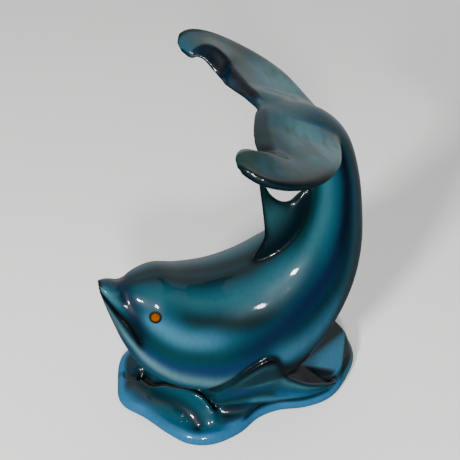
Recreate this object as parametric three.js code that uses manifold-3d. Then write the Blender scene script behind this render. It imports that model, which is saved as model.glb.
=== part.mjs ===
// Wooden dolphin carving: a dolphin arched over a low carved wave, its tail curled up and over
// its back. The dolphin and the wave are one block of wood, and two eye discs are inlaid.
// Millimetres, +Z up. The nose points to -X, the left side to -Y, and the origin is on the
// ground, in the dolphin's plane of symmetry.

import * as THREE from "three";
import { ParametricGeometry } from "three/addons/geometries/ParametricGeometry.js";
import { mergeVertices } from "three/addons/utils/BufferGeometryUtils.js";
import Module from "manifold-3d";

const wasm = await Module();
wasm.setup();

// Body: stations from nose to tail, each a point [x, z] on the back, a point [x, z] on the
// belly and half the width.
const BODY_STATIONS = [
  { back: [-83, 139], belly: [-83, 131.5], halfWidth: 4 }, // nose
  { back: [-77.5, 137], belly: [-81, 119], halfWidth: 8.5 }, // beak
  { back: [-70, 133.5], belly: [-78, 103], halfWidth: 13 }, // beak root
  { back: [-61, 135.4], belly: [-74, 86], halfWidth: 19.5 }, // melon
  { back: [-47, 135.8], belly: [-66, 65], halfWidth: 27.5 }, // brow
  { back: [-31, 129], belly: [-49, 46], halfWidth: 33.5 }, // neck
  { back: [-12, 126], belly: [-22, 32], halfWidth: 37.5 }, // chest
  { back: [6, 129], belly: [8, 28], halfWidth: 39.5 }, // middle
  { back: [19, 135.5], belly: [33, 35.5], halfWidth: 39 }, // loin
  { back: [29, 143], belly: [51.5, 53.5], halfWidth: 35 }, // rump
  { back: [36.5, 153], belly: [66.5, 77.5], halfWidth: 29.5 }, // tail root
  { back: [41, 165], belly: [76, 104], halfWidth: 24 }, // tail low
  { back: [43, 179], belly: [79, 133], halfWidth: 19.5 }, // tail middle
  { back: [43, 192], belly: [76.5, 163], halfWidth: 16 }, // tail high
  { back: [41, 205], belly: [71.5, 191], halfWidth: 13.5 }, // tail bend
  { back: [36, 217], belly: [63, 216], halfWidth: 12 }, // tail crook
  { back: [27, 227], belly: [49.5, 232], halfWidth: 10.5 }, // fluke root
  { back: [19, 235.5], belly: [31, 241], halfWidth: 8.5 }, // fluke middle
  { back: [13, 240.5], belly: [14.5, 244.5], halfWidth: 4 }, // fluke notch
];
const BODY_ROUNDNESS = 2.2;
const BODY_SIDES = 28;
const HEAD_END = 0.22;
const HEAD_LEAN_END = 0.44;
const HEAD_RINGS = 20;
const TRUNK_RINGS = 34;

// Crease between beak and melon: it deepens from the top, leans back as it runs down the cheeks,
// and fades out there.
// Places are given as t along the body and as an angle round it from the middle of the back.
const CREASE_START = 0.112;
const CREASE_LEAN = 0.045;
const CREASE_HALF_WIDTH = 0.026;
const CREASE_DEPTH = 1.8;
const CREASE_TOP_ANGLE = 0.6;
const CREASE_FADE_ANGLE = 0.87;
const CREASE_END_ANGLE = 1.45;

// Mouth: a cut from the tip of the beak back to the corners of the mouth.
const MOUTH_STATIONS = [0.002, 0.19];
const MOUTH_ANGLES = [1.2, 1.47, 1.53, 1.535, 1.58, 1.72];
const MOUTH_RADIUS = 0.9;
const MOUTH_STEPS = 14;
const MOUTH_SIDES = 6;

// Dorsal fin: a blade in the plane of symmetry, its edges given as [x, z].
const DORSAL_FRONT = [
  [4, 112], [11, 132], [16.5, 144], [17.5, 152], [16, 168], [14, 184], [12.5, 196],
];
const DORSAL_REAR = [
  [58, 168], [50, 180], [42, 181], [34, 174], [27, 174.5], [20, 182], [14, 196],
];
const DORSAL_HALF_THICKNESS = [5, 4.5, 4, 3.5, 2.8, 2.2, 1.2];
const DORSAL_RINGS = 16;

// Flukes: the left one, its edges given as [x, y, z]; the right one is its mirror image.
const FLUKE_FRONT = [
  [58, 0, 212], [53, -15, 220], [48, -28, 225.5], [41, -42, 231.5], [31, -54, 236.5],
  [18, -63.5, 242], [5, -67.5, 247], [-6, -66.5, 251.5], [-13.5, -60, 254.5], [-15.5, -56, 255],
];
const FLUKE_REAR = [
  [10.5, 0, 243], [6.5, -9, 244.5], [3, -18.5, 243.8], [1.2, -27, 242], [0.8, -34, 241],
  [-2, -39, 244], [-6, -41.5, 249], [-10, -43, 251.5], [-13.5, -47, 253.5], [-15.5, -50.5, 254.5],
];
const FLUKE_HALF_THICKNESS = [5, 4.5, 4.5, 4.5, 4.5, 4.5, 4.5, 4.2, 3.6, 2.6];
const FLUKE_RINGS = 22;
const FLUKE_BEVEL = 6.5;
const FLUKE_BEVEL_SHARE = 0.35;

// Flippers: the left one, its edges given as [x, y, z]; the right one is its mirror image.
const FLIPPER_TOP = [
  [-31, -17, 46], [-24, -33.5, 56.5], [-13, -38.9, 67], [-3.7, -40.6, 77], [6.5, -41.2, 84],
  [13.5, -41, 82.5], [18, -37.5, 70], [23.5, -34, 55], [30.5, -31.5, 44], [42, -30, 32],
  [52, -28.5, 25.5], [61, -26.5, 20], [67.5, -22, 15.5],
];
const FLIPPER_FOOT = [
  [-29, -9.5, 30.5], [-22, -29.5, 35], [-11.5, -31, 32.5], [-3.5, -31, 29.5], [5, -31, 26],
  [12, -30, 22.5], [19, -29, 19.5], [25.5, -28, 17.5], [33, -28, 16.5], [42, -28, 15.5],
  [51.5, -27, 15], [60.5, -25, 13.5], [68, -21, 12.5],
];
const FLIPPER_HALF_THICKNESS = [2, 2.5, 2.5, 2.5, 2.5, 2.5, 2.5, 2.5, 2.5, 2.5, 2.5, 2.2, 1.4];
const FLIPPER_RINGS = 20;
const BLADE_SIDES = 12;

// Wave base: its outline on the ground as [x, y], the edge's rounding as a distance in from the
// outline and a height, and the rolls and troughs carved into its top.
const BASE_OUTLINE = [
  [-80, 24], [-80, 8], [-67, -7], [-55, -23], [-43, -35], [-27, -40], [-8, -37], [8, -29],
  [24.5, -26.5], [44.5, -29], [63.5, -26], [80, -13], [91, 2], [92, 19], [83, 36], [60, 44],
  [25, 46], [-15, 50], [-50, 56], [-72, 48],
];
const BASE_EDGE = [
  { inset: 4.5, height: 0 }, { inset: 1.4, height: 1.2 }, { inset: 0, height: 4 },
  { inset: 1.2, height: 7.4 }, { inset: 4, height: 9.6 },
];
const BASE_TOP_STEPS = [0.05, 0.1, 0.15, 0.2, 0.26, 0.33, 0.42, 0.54, 0.7, 0.86, 1];
const BASE_CENTRE = [5, 2];
const BASE_SIDES = 88;
const WAVE_HEIGHT = 10;
const WAVE_ROLL = { reach: [55, 33], inner: 0.9, outer: 1.2, rise: 8 };
const WAVE_CORE = { reach: [55, 33], inner: 0.5, outer: 0.95, rise: 22 };
const WAVE_TROUGHS = [
  {
    path: [[-66, 20], [-62.5, 15], [-55.5, 4], [-44.5, -9.5], [-36, -20.5], [-33.5, -26]],
    width: 6,
    depth: 4,
  },
  { path: [[-77, 30], [-71, 27.5], [-64.5, 25]], width: 4, depth: 2.5 },
];
const WAVE_BLOCK = {
  corner: [72, -17], front: [52, -7], back: [85, 9], rise: 9, frontFall: 8, endFall: 10, startX: [30, 50],
};
const TROUGH_SAMPLES = 24;

// Eyes: where each sits on the body, and the disc and the gap to the socket drilled for it.
const EYE_STATION = 0.207;
const EYE_ANGLE = 0.977;
const EYE_RADIUS = 2.7;
const EYE_DEPTH = 2.4;
const EYE_CROWN = 0.5;
const EYE_GAP = 0.3;
const EYE_SIDES = 20;
const SKIN_STEP = 0.01;

const LACQUERED_WOOD = new THREE.MeshStandardMaterial({ color: 0x2c7d92, roughness: 0.22, metalness: 0 });
const EYE_ORANGE = new THREE.MeshStandardMaterial({ color: 0xc86a10, roughness: 0.3, metalness: 0 });

// Smooth curves and values through a few given points
function spline(points, closed = false) {
  return new THREE.CatmullRomCurve3(points.map((p) => new THREE.Vector3(...p)), closed, "catmullrom");
}

function inSymmetryPlane(points) {
  return points.map(([x, z]) => [x, 0, z]);
}

function onGround(points) {
  return points.map(([x, y]) => [x, y, 0]);
}

function valueAlong(values, t) {
  const curve = new THREE.SplineCurve(values.map((value, place) => new THREE.Vector2(place, value)));
  return curve.getPoint(t).y;
}

function power(value, exponent) {
  return Math.sign(value) * Math.abs(value) ** exponent;
}

function evenSteps(count) {
  return Array.from({ length: count }, (_, i) => i / (count - 1));
}

// A closed tube: ringPoint(t, angle) gives its skin, and each end is drawn in to a point
function closedTube(ringPoint, stations, sides) {
  const stacks = stations.length + 1;
  const endPoint = (t) => ringPoint(t, 0).add(ringPoint(t, Math.PI)).multiplyScalar(0.5);
  const skin = (u, v, target) => {
    const ring = Math.round(v * stacks);
    const t = stations[THREE.MathUtils.clamp(ring - 1, 0, stations.length - 1)];
    const angle = (Math.round(u * sides) % sides) * 2 * Math.PI / sides;
    const isEnd = ring === 0 || ring === stacks;
    target.copy(isEnd ? endPoint(t) : ringPoint(t, angle));
  };
  return new ParametricGeometry(skin, sides, stacks);
}

// A closed geometry as a solid for joining and cutting, with its faces turned outwards
function solid(geometry) {
  const bare = geometry.clone();
  bare.deleteAttribute("normal");
  bare.deleteAttribute("uv");
  const merged = mergeVertices(bare, 1e-4);
  const corners = merged.index.array;
  const triangles = [];
  for (let i = 0; i < corners.length; i += 3) {
    const [a, b, c] = [corners[i], corners[i + 1], corners[i + 2]];
    if (a !== b && b !== c && c !== a) triangles.push(a, b, c);
  }
  const build = (order) => new wasm.Manifold(new wasm.Mesh({
    numProp: 3,
    vertProperties: Float32Array.from(merged.attributes.position.array),
    triVerts: Uint32Array.from(order),
  }));
  const made = build(triangles);
  return made.volume() > 0 ? made : build(triangles.reverse());
}

function meshOf(shape, name, material) {
  const data = shape.getMesh();
  const geometry = new THREE.BufferGeometry();
  geometry.setAttribute("position", new THREE.BufferAttribute(data.vertProperties, 3));
  geometry.setIndex(new THREE.BufferAttribute(data.triVerts, 1));
  geometry.computeVertexNormals();
  const mesh = new THREE.Mesh(geometry, material);
  mesh.name = name;
  return mesh;
}

// Body
const backRail = spline(inSymmetryPlane(BODY_STATIONS.map((s) => s.back)));
const bellyRail = spline(inSymmetryPlane(BODY_STATIONS.map((s) => s.belly)));
const widths = BODY_STATIONS.map((s) => s.halfWidth);

function bodyPoint(t, angle) {
  const back = backRail.getPoint(t);
  const belly = bellyRail.getPoint(t);
  const middle = back.clone().add(belly).multiplyScalar(0.5);
  const up = back.sub(belly).multiplyScalar(0.5 * power(Math.cos(angle), 2 / BODY_ROUNDNESS));
  const aside = -valueAlong(widths, t) * power(Math.sin(angle), 2 / BODY_ROUNDNESS);
  const out = up.add(new THREE.Vector3(0, aside, 0));
  return middle.add(out.setLength(out.length() - creaseDepth(t, angle)));
}

function angleFromTop(angle) {
  return Math.abs(Math.atan2(Math.sin(angle), Math.cos(angle)));
}

function creaseDepth(t, angle) {
  const down = angleFromTop(angle);
  const line = CREASE_START + CREASE_LEAN * down ** 2;
  const deepen = THREE.MathUtils.smoothstep(down, 0, CREASE_TOP_ANGLE);
  const fade = 1 - THREE.MathUtils.smoothstep(down, CREASE_FADE_ANGLE, CREASE_END_ANGLE);
  return CREASE_DEPTH * deepen * fade * Math.exp(-(((t - line) / CREASE_HALF_WIDTH) ** 2));
}

// The head's rings lean back with the crease, so that it runs along one of them
function leaningBodyPoint(t, angle) {
  const down = Math.min(angleFromTop(angle), CREASE_END_ANGLE);
  const before = t / CREASE_START;
  const after = Math.max(0, (HEAD_LEAN_END - t) / (HEAD_LEAN_END - CREASE_START));
  const near = Math.min(before, after);
  return bodyPoint(t + near * CREASE_LEAN * down ** 2, angle);
}

function bodySolid() {
  const head = evenSteps(HEAD_RINGS).map((part) => part * HEAD_END);
  const trunk = evenSteps(TRUNK_RINGS).map((part) => THREE.MathUtils.lerp(HEAD_END, 1, part));
  return solid(closedTube(leaningBodyPoint, [...head, ...trunk.slice(1)], BODY_SIDES));
}

function mouthCut(side) {
  const path = evenSteps(MOUTH_STEPS).map((part) => {
    const t = THREE.MathUtils.lerp(...MOUTH_STATIONS, part);
    return bodyPoint(t, side * valueAlong(MOUTH_ANGLES, part));
  });
  const section = new THREE.Shape().absarc(0, 0, MOUTH_RADIUS, 0, 2 * Math.PI);
  const tube = new THREE.ExtrudeGeometry(section, {
    steps: MOUTH_STEPS,
    curveSegments: MOUTH_SIDES / 2,
    extrudePath: new THREE.CatmullRomCurve3(path),
  });
  return solid(tube);
}

// A blade between two edge curves, with a lens section of the given half thickness
function bladeSolid(frontRail, rearRail, halfThickness, faceDirection, rings) {
  const ringPoint = (t, angle) => {
    const front = frontRail.getPoint(t);
    const rear = rearRail.getPoint(t);
    const middle = front.clone().add(rear).multiplyScalar(0.5);
    const across = front.sub(rear).multiplyScalar(0.5 * Math.cos(angle));
    const out = faceDirection(t).multiplyScalar(valueAlong(halfThickness, t) * Math.sin(angle));
    return middle.add(across).add(out);
  };
  return solid(closedTube(ringPoint, evenSteps(rings), BLADE_SIDES));
}

function dorsalFinSolid() {
  const front = spline(inSymmetryPlane(DORSAL_FRONT));
  const rear = spline(inSymmetryPlane(DORSAL_REAR));
  const sideways = () => new THREE.Vector3(0, 1, 0);
  return bladeSolid(front, rear, DORSAL_HALF_THICKNESS, sideways, DORSAL_RINGS);
}

// The direction square to a blade's chord and to its run from root to tip
function bladeFace(front, rear) {
  return (t) => {
    const chord = front.getPoint(t).sub(rear.getPoint(t));
    const run = front.getTangent(t).add(rear.getTangent(t));
    return chord.cross(run).normalize();
  };
}

function mirrored(points, side) {
  return points.map(([x, y, z]) => [x, side * y, z]);
}

// A fluke's section, from the rear edge over the bevel, the dished face and the front rim to the
// underside, as distances from the rear edge and heights above the chord.
function flukeSection(chord, half) {
  const bevel = Math.min(FLUKE_BEVEL, FLUKE_BEVEL_SHARE * chord);
  const onFace = (part) => THREE.MathUtils.lerp(bevel, chord, part);
  return [
    [0, 0], [bevel, 0.45 * half], [onFace(0.25), 0.05 * half], [onFace(0.5), -0.1 * half],
    [onFace(0.75), 0.1 * half], [onFace(0.92), 0.5 * half], [onFace(0.98), 0.35 * half],
    [chord, -0.1 * half], [0.96 * chord, -0.7 * half], [0.75 * chord, -1.1 * half],
    [0.5 * chord, -1.3 * half], [0.25 * chord, -1.2 * half], [0.06 * chord, -0.8 * half],
  ];
}

function flukeSolid(side) {
  const front = spline(mirrored(FLUKE_FRONT, side));
  const rear = spline(mirrored(FLUKE_REAR, side));
  const face = bladeFace(front, rear);
  const corners = flukeSection(1, 1).length;
  const ringPoint = (t, angle) => {
    const from = rear.getPoint(t);
    const chord = front.getPoint(t).sub(from);
    const half = valueAlong(FLUKE_HALF_THICKNESS, t);
    const corner = Math.round(angle / (2 * Math.PI) * corners) % corners;
    const [along, height] = flukeSection(chord.length(), half)[corner];
    const up = face(t);
    const lift = up.multiplyScalar(up.z > 0 ? height : -height);
    return from.add(chord.setLength(along)).add(lift);
  };
  return solid(closedTube(ringPoint, evenSteps(FLUKE_RINGS), corners));
}

function flipperSolid(side) {
  const top = spline(mirrored(FLIPPER_TOP, side));
  const foot = spline(mirrored(FLIPPER_FOOT, side));
  return bladeSolid(top, foot, FLIPPER_HALF_THICKNESS, bladeFace(top, foot), FLIPPER_RINGS);
}

// Wave base: rings from the middle of the underside out to the edge and back over the top
const baseOutline = spline(onGround(BASE_OUTLINE), true);

function mound(x, y, { reach, inner, outer, rise }) {
  const out = Math.hypot((x - BASE_CENTRE[0]) / reach[0], (y - BASE_CENTRE[1]) / reach[1]);
  return rise * (1 - THREE.MathUtils.smoothstep(out, inner, outer));
}

const troughPaths = WAVE_TROUGHS.map(({ path }) =>
  spline(onGround(path)).getPoints(TROUGH_SAMPLES));

function trough(x, y, number) {
  const { width, depth } = WAVE_TROUGHS[number];
  const away = Math.min(...troughPaths[number].map((p) => Math.hypot(p.x - x, p.y - y)));
  return depth * Math.exp(-((away / width) ** 2));
}

// How far a point lies on the left of the line from one point to another, seen from above
function leftOf(x, y, from, to) {
  const [dx, dy] = [to[0] - from[0], to[1] - from[1]];
  return (dx * (y - from[1]) - dy * (x - from[0])) / Math.hypot(dx, dy);
}

function block(x, y) {
  const { corner, front, back, rise, frontFall, endFall, startX } = WAVE_BLOCK;
  const behindFront = THREE.MathUtils.smoothstep(leftOf(x, y, front, corner), -frontFall, 0);
  const insideEnd = THREE.MathUtils.smoothstep(leftOf(x, y, corner, back), -endFall, 0);
  const fromMiddle = THREE.MathUtils.smoothstep(x, ...startX);
  return rise * behindFront * insideEnd * fromMiddle;
}

function waveHeight(x, y) {
  const carved = WAVE_TROUGHS.reduce((sum, _, number) => sum + trough(x, y, number), 0);
  const raised = Math.max(mound(x, y, WAVE_ROLL) + mound(x, y, WAVE_CORE), block(x, y));
  return WAVE_HEIGHT + raised - carved;
}

function baseSolid() {
  const centre = new THREE.Vector3(BASE_CENTRE[0], BASE_CENTRE[1], 0);
  const rim = BASE_EDGE[BASE_EDGE.length - 1].inset;
  const stacks = BASE_EDGE.length + BASE_TOP_STEPS.length;
  const skin = (u, v, target) => {
    const ring = Math.round(v * stacks) - 1;
    const around = (Math.round(u * BASE_SIDES) % BASE_SIDES) / BASE_SIDES;
    const spoke = baseOutline.getPoint(around).sub(centre);
    const onEdge = BASE_EDGE[ring];
    const inward = BASE_TOP_STEPS[ring - BASE_EDGE.length] ?? 0;
    const inset = onEdge ? onEdge.inset : THREE.MathUtils.lerp(rim, spoke.length(), inward);
    target.copy(centre).addScaledVector(spoke, ring < 0 ? 0 : 1 - inset / spoke.length());
    if (ring >= 0) target.z = onEdge ? onEdge.height : waveHeight(target.x, target.y);
  };
  return solid(new ParametricGeometry(skin, BASE_SIDES, stacks));
}

// Eyes: a domed disc in a drilled socket, square to the skin
function eyeFrame(side) {
  const at = bodyPoint(EYE_STATION, side * EYE_ANGLE);
  const along = bodyPoint(EYE_STATION + SKIN_STEP, side * EYE_ANGLE).sub(at);
  const around = bodyPoint(EYE_STATION, side * EYE_ANGLE + SKIN_STEP).sub(at);
  const outward = along.cross(around).normalize();
  if (outward.y * side > 0) outward.negate();
  const turn = new THREE.Quaternion().setFromUnitVectors(new THREE.Vector3(0, 1, 0), outward);
  return new THREE.Matrix4().compose(at, turn, new THREE.Vector3(1, 1, 1));
}

function eyeSolid(side) {
  const profile = [
    [0, -EYE_DEPTH], [EYE_RADIUS, -EYE_DEPTH], [EYE_RADIUS, 0.1 * EYE_CROWN],
    [0.8 * EYE_RADIUS, 0.55 * EYE_CROWN], [0.45 * EYE_RADIUS, 0.9 * EYE_CROWN], [0, EYE_CROWN],
  ];
  const disc = new THREE.LatheGeometry(profile.map(([r, h]) => new THREE.Vector2(r, h)), EYE_SIDES);
  return solid(disc.applyMatrix4(eyeFrame(side)));
}

function socketSolid(side) {
  const length = EYE_DEPTH + 2 * EYE_RADIUS;
  const radius = EYE_RADIUS + EYE_GAP;
  const drill = new THREE.CylinderGeometry(radius, radius, length, EYE_SIDES);
  drill.translate(0, length / 2 - EYE_DEPTH - EYE_GAP, 0);
  return solid(drill.applyMatrix4(eyeFrame(side)));
}

// The whole carving
const LEFT = 1;
const RIGHT = -1;

function carvingSolid() {
  let carving = bodySolid().add(dorsalFinSolid()).add(baseSolid());
  for (const side of [LEFT, RIGHT]) {
    carving = carving.add(flukeSolid(side)).add(flipperSolid(side));
    carving = carving.subtract(socketSolid(side)).subtract(mouthCut(side));
  }
  return carving;
}

const dolphin = new THREE.Group();
dolphin.name = "dolphin_carving";
dolphin.add(meshOf(carvingSolid(), "carving", LACQUERED_WOOD));
dolphin.add(meshOf(eyeSolid(LEFT), "eye_left", EYE_ORANGE));
dolphin.add(meshOf(eyeSolid(RIGHT), "eye_right", EYE_ORANGE));

export default dolphin;
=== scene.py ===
# Wooden dolphin carving: a dolphin arched over a low carved wave, its tail curled up and over its
# back, airbrushed in teal and blue under clear lacquer, with two orange eye discs.
# The skins are worked out in millimetres, in the frame's axes, and joined to one carved block.

import math

import bmesh
import bpy
import numpy as np
from mathutils import Matrix, Vector
from mathutils.bvhtree import BVHTree
from mathutils.kdtree import KDTree


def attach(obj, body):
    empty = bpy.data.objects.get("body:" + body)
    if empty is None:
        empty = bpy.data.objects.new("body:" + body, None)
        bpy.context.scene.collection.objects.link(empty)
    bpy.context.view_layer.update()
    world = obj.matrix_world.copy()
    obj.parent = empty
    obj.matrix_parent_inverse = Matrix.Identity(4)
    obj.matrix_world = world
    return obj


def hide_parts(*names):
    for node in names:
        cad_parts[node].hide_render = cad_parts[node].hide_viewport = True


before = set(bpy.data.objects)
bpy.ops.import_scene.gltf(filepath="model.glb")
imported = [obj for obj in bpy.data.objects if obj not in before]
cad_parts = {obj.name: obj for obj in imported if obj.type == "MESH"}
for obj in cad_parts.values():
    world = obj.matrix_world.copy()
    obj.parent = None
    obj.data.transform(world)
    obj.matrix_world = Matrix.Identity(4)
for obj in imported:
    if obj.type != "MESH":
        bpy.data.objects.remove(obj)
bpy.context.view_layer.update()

MM = 0.001
MIRROR = np.array([1, -1, 1])

# Body: stations from nose to tail, each the back's [x, z], the belly's [x, z] and half the width
BODY_STATIONS = [
    ([-83, 139], [-83, 131.5], 4),
    ([-77.5, 137], [-81, 119], 8.5),
    ([-70, 133.5], [-78, 103], 13),
    ([-61, 135.4], [-74, 86], 19.5),
    ([-47, 135.8], [-66, 65], 27.5),
    ([-31, 129], [-49, 46], 33.5),
    ([-12, 126], [-22, 32], 37.5),
    ([6, 129], [8, 28], 39.5),
    ([19, 135.5], [33, 35.5], 39),
    ([29, 143], [51.5, 53.5], 35),
    ([36.5, 153], [66.5, 77.5], 29.5),
    ([41, 165], [76, 104], 24),
    ([43, 179], [79, 133], 19.5),
    ([43, 192], [76.5, 163], 16),
    ([41, 205], [71.5, 191], 13.5),
    ([36, 217], [63, 216], 12),
    ([27, 227], [49.5, 232], 10.5),
    ([19, 235.5], [31, 241], 8.5),
    ([13, 240.5], [14.5, 244.5], 4),
]
BODY_ROUNDNESS = 2.2
LEAST_SHARE = 0.1
BODY_RINGS = 360
BODY_SIDES = 240

# Crease between beak and melon, and the mouth, as places along (t) and around (angle) the body
CREASE_START = 0.112
CREASE_LEAN = 0.045
CREASE_HALF_WIDTH = 0.028
CREASE_DEPTH = 1.3
CREASE_TOP_ANGLE = 0.6
CREASE_FADE_ANGLE = 0.87
CREASE_END_ANGLE = 1.45
MOUTH_STATIONS = (0.002, 0.19)
MOUTH_ANGLES = [1.2, 1.47, 1.53, 1.535, 1.58, 1.72]
MOUTH_HALF_WIDTH = 1.1
MOUTH_DEPTH = 2.0
MOUTH_FADE = 0.012

# Eyes: their place on the body, the disc, and the socket drilled for it
EYE_STATION = 0.207
EYE_ANGLE = 0.977
EYE_RADIUS = 2.7
EYE_DEPTH = 2.4
EYE_CROWN = 0.5
SOCKET_RADIUS = 2.9
SOCKET_SIDES = 64
SOCKET_LIP_ANGLE = 0.6

# Dorsal fin: its edges as [x, z] and half its thickness, from root to tip
DORSAL_FRONT = [[4, 112], [11, 132], [16.5, 144], [17.5, 152], [16, 168], [14, 184], [12.5, 196]]
DORSAL_REAR = [[58, 168], [50, 180], [42, 181], [34, 174], [27, 174.5], [20, 182], [14, 196]]
DORSAL_HALF_THICKNESS = [5, 4.5, 4, 3.5, 2.8, 2.2, 1.2]

# Flukes: their edges as [x, y, z], from root to tip, the right one's as if on the left
FLUKE_FRONT = {
    "left": [
        [58, 0, 212], [53, -15, 220], [48, -28, 225.5], [41, -42, 231.5], [31, -54, 236.5],
        [18, -63.5, 242], [5, -67.5, 247], [-6, -66.5, 251.5], [-13.5, -60, 254.5], [-15.5, -56, 255],
    ],
    "right": [
        [58, 0, 212], [53, -15, 220], [48, -28, 225.5], [41, -42, 231.5], [31, -54, 237],
        [18, -63.5, 243], [5, -67.5, 249], [-6.5, -66.8, 253.5], [-14.5, -61, 256], [-17, -56.5, 255],
    ],
}
FLUKE_REAR = {
    "left": [
        [10.5, 0, 243], [6.5, -9, 244.5], [3, -18.5, 243.8], [1.2, -27, 242], [0.8, -34, 241],
        [-2, -39, 244.5], [-6, -40.5, 250.5], [-10.5, -42.5, 253], [-14, -47, 255], [-15.8, -50.5, 255],
    ],
    "right": [
        [10.5, 0, 243], [6.5, -9, 244.5], [3, -18.5, 243.8], [1.2, -27, 242], [0.8, -34, 241],
        [-2, -39, 244], [-5.5, -42.5, 248.5], [-9, -44.5, 250], [-12.5, -45.5, 249], [-16.5, -50, 251],
    ],
}
FLUKE_HALF_THICKNESS = [5, 4.5, 4.5, 4.5, 4.5, 4.5, 4.5, 4.2, 3.6, 2.6]
FLUKE_BEVELS = {
    "left": [2, 5, 6.5, 7, 8, 9.5, 9, 5, 2.5, 1.5],
    "right": [2, 4, 5, 5.2, 5.5, 6.5, 6.5, 4.5, 2.5, 1.5],
}
FLUKE_RIDGES = {
    "left": [1, 2.5, 3.5, 4, 4.5, 5, 4.5, 3, 2, 1.2],
    "right": [1, 3.5, 5.5, 6.8, 7.4, 7.2, 5.5, 3, 2, 1.2],
}
FLUKE_FAIRING = (7.5, 18)

# Flippers: the left one's edges as [x, y, z], from root to tip
FLIPPER_TOP = [
    [-31, -17, 46], [-24, -33.5, 56.5], [-13, -38.9, 67], [-3.7, -40.6, 77], [6.5, -41.2, 84],
    [13.5, -41, 82.5], [18, -37.5, 70], [23.5, -34, 55], [30.5, -31.5, 44], [42, -30, 32],
    [52, -28.5, 25.5], [61, -26.5, 20], [67.5, -22, 15.5],
]
FLIPPER_FOOT = [
    [-29, -9.5, 30.5], [-22, -29.5, 35], [-11.5, -31, 32.5], [-3.5, -31, 29.5], [5, -31, 26],
    [12, -30, 22.5], [19, -29, 19.5], [25.5, -28, 17.5], [33, -28, 16.5], [42, -28, 15.5],
    [51.5, -27, 15], [60.5, -25, 13.5], [68, -21, 12.5],
]
FLIPPER_HALF_THICKNESS = [2, 2.5, 2.5, 2.5, 2.5, 2.5, 2.5, 2.5, 2.5, 2.5, 2.5, 2.2, 1.4]
FLIPPER_SQUARENESS = 3.2
FLIPPER_DISH = 0.8
FIN_RINGS = 130
FIN_SIDES = 120

# Wave base: its outline as [x, y], and its edge as (inset, height)
BASE_OUTLINE = [
    [-80, 24], [-80, 8], [-67, -7], [-55, -23], [-43, -35], [-27, -40], [-8, -37], [8, -29],
    [24.5, -26.5], [44.5, -29], [63.5, -26], [80, -13], [91, 2], [92, 19], [83, 36], [60, 44],
    [25, 46], [-15, 50], [-50, 56], [-72, 48],
]
BASE_EDGE = [(4.5, 0), (1.4, 1.2), (0, 4), (1.2, 7.4), (4, 9.6)]
BASE_CENTRE = (5, 2)
BASE_EDGE_RINGS = 14
BASE_TOP_RINGS = 90
BASE_SIDES = 560

# Wave relief: mounds as (share where full, share where none, rise), grooves as (path, width, depth)
WAVE_HEIGHT = 10
MOUND_REACH = (55, 33)
ROLL = (0.9, 1.2, 8)
ROLL_END = (-32, -18)
ROLL_FALL = 0.6
CORE = (0.5, 0.95, 22)
TROUGHS = [
    ([[-66, 20], [-62.5, 15], [-55.5, 4], [-44.5, -9.5], [-36, -20.5], [-33.5, -26]], 5, 3.6),
    ([[-77, 30], [-71, 27.5], [-64.5, 25]], 4, 2.5),
]
SEAM = (
    [[-62, 26], [-58, 18.5], [-50, 11], [-41.5, 2.5], [-32.5, -6.5], [-25, -13.5], [-20, -19]],
    3.5, 5,
)
CREST = (
    [[-63, 21], [-59, 13.5], [-51.5, 6], [-43, -2.5], [-34, -11.5], [-26.5, -18], [-22.5, -23.5]],
    3.5, 4,
)
TROUGH_SAMPLES = 40

# Block under the tail, by points on its edges, and the bank of wood between the flippers
BLOCK_CORNER = (72, -17)
BLOCK_FRONT = (52, -7)
BLOCK_BACK = (85, 9)
BLOCK_RISE = 9
BLOCK_FRONT_FALL = 24
BLOCK_END_FALL = 10
BLOCK_START = (30, 50)
BANK_FILL = 0.3
BANK_EDGE = (-4, -1)
BANK_START = (20, 34)
BANK_END = (62, 70)
FOOT_SAMPLES = 60

# Joining: the skins are cast together at this grid, rounded where they meet, and thinned
JOIN_GRID = 0.75
FILLET_REACH = 2.5
FILLET_PASSES = 8
TAIL_REACH = 6
TAIL_PASSES = 30
SMOOTH_FACTOR = 0.5
LEAST_STRENGTH = 0.02
MOST_TRIANGLES = 190_000

# Camera: the photograph's width and focal length in pixels, its direction, and where the origin shows
IMAGE_PIXELS = 460
FOCAL_PIXELS = 825
CAMERA_AZIMUTH = -16
CAMERA_ELEVATION = 44
ORIGIN_PIXEL = (235, 390)
ORIGIN_DISTANCE = 0.6
SENSOR_MM = 36
NEAR_CLIP = 0.01


# Curves and steps

def smoothstep(value, low, high):
    part = np.clip((value - low) / (high - low), 0, 1)
    return part * part * (3 - 2 * part)


def signed_power(value, exponent):
    return np.sign(value) * np.abs(value) ** exponent


def curve(points, t, closed=False):
    """Points on a smooth curve through the given ones, at each t from 0 to 1."""
    points = np.asarray(points, float)
    count = len(points)
    place = np.asarray(t, float) * (count if closed else count - 1)
    step = np.floor(place).astype(int)
    if closed:
        step = step % count
        known = np.vstack([points[-1:], points, points[:2]])
    else:
        step = np.clip(step, 0, count - 2)
        known = np.vstack([2 * points[0] - points[1], points, 2 * points[-1] - points[-2]])
    part = (place - np.floor(place) if closed else place - step)[..., None]
    before, here, there, after = (known[step + k] for k in range(4))
    leave = (there - before) / 2
    arrive = (after - here) / 2
    bend = 3 * (there - here) - 2 * leave - arrive
    ease = 2 * (here - there) + leave + arrive
    return here + part * (leave + part * (bend + part * ease))


def value_along(values, t):
    return curve(np.asarray(values, float)[:, None], t)[..., 0]


def in_symmetry_plane(points):
    return [[x, 0, z] for x, z in points]


def unit(vectors):
    return vectors / np.maximum(np.linalg.norm(vectors, axis=-1, keepdims=True), 1e-9)


# Body skin

BACK_RAIL = in_symmetry_plane([station[0] for station in BODY_STATIONS])
BELLY_RAIL = in_symmetry_plane([station[1] for station in BODY_STATIONS])
HALF_WIDTHS = [station[2] for station in BODY_STATIONS]


def angle_from_back(angle):
    return np.abs(np.arctan2(np.sin(angle), np.cos(angle)))


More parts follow.
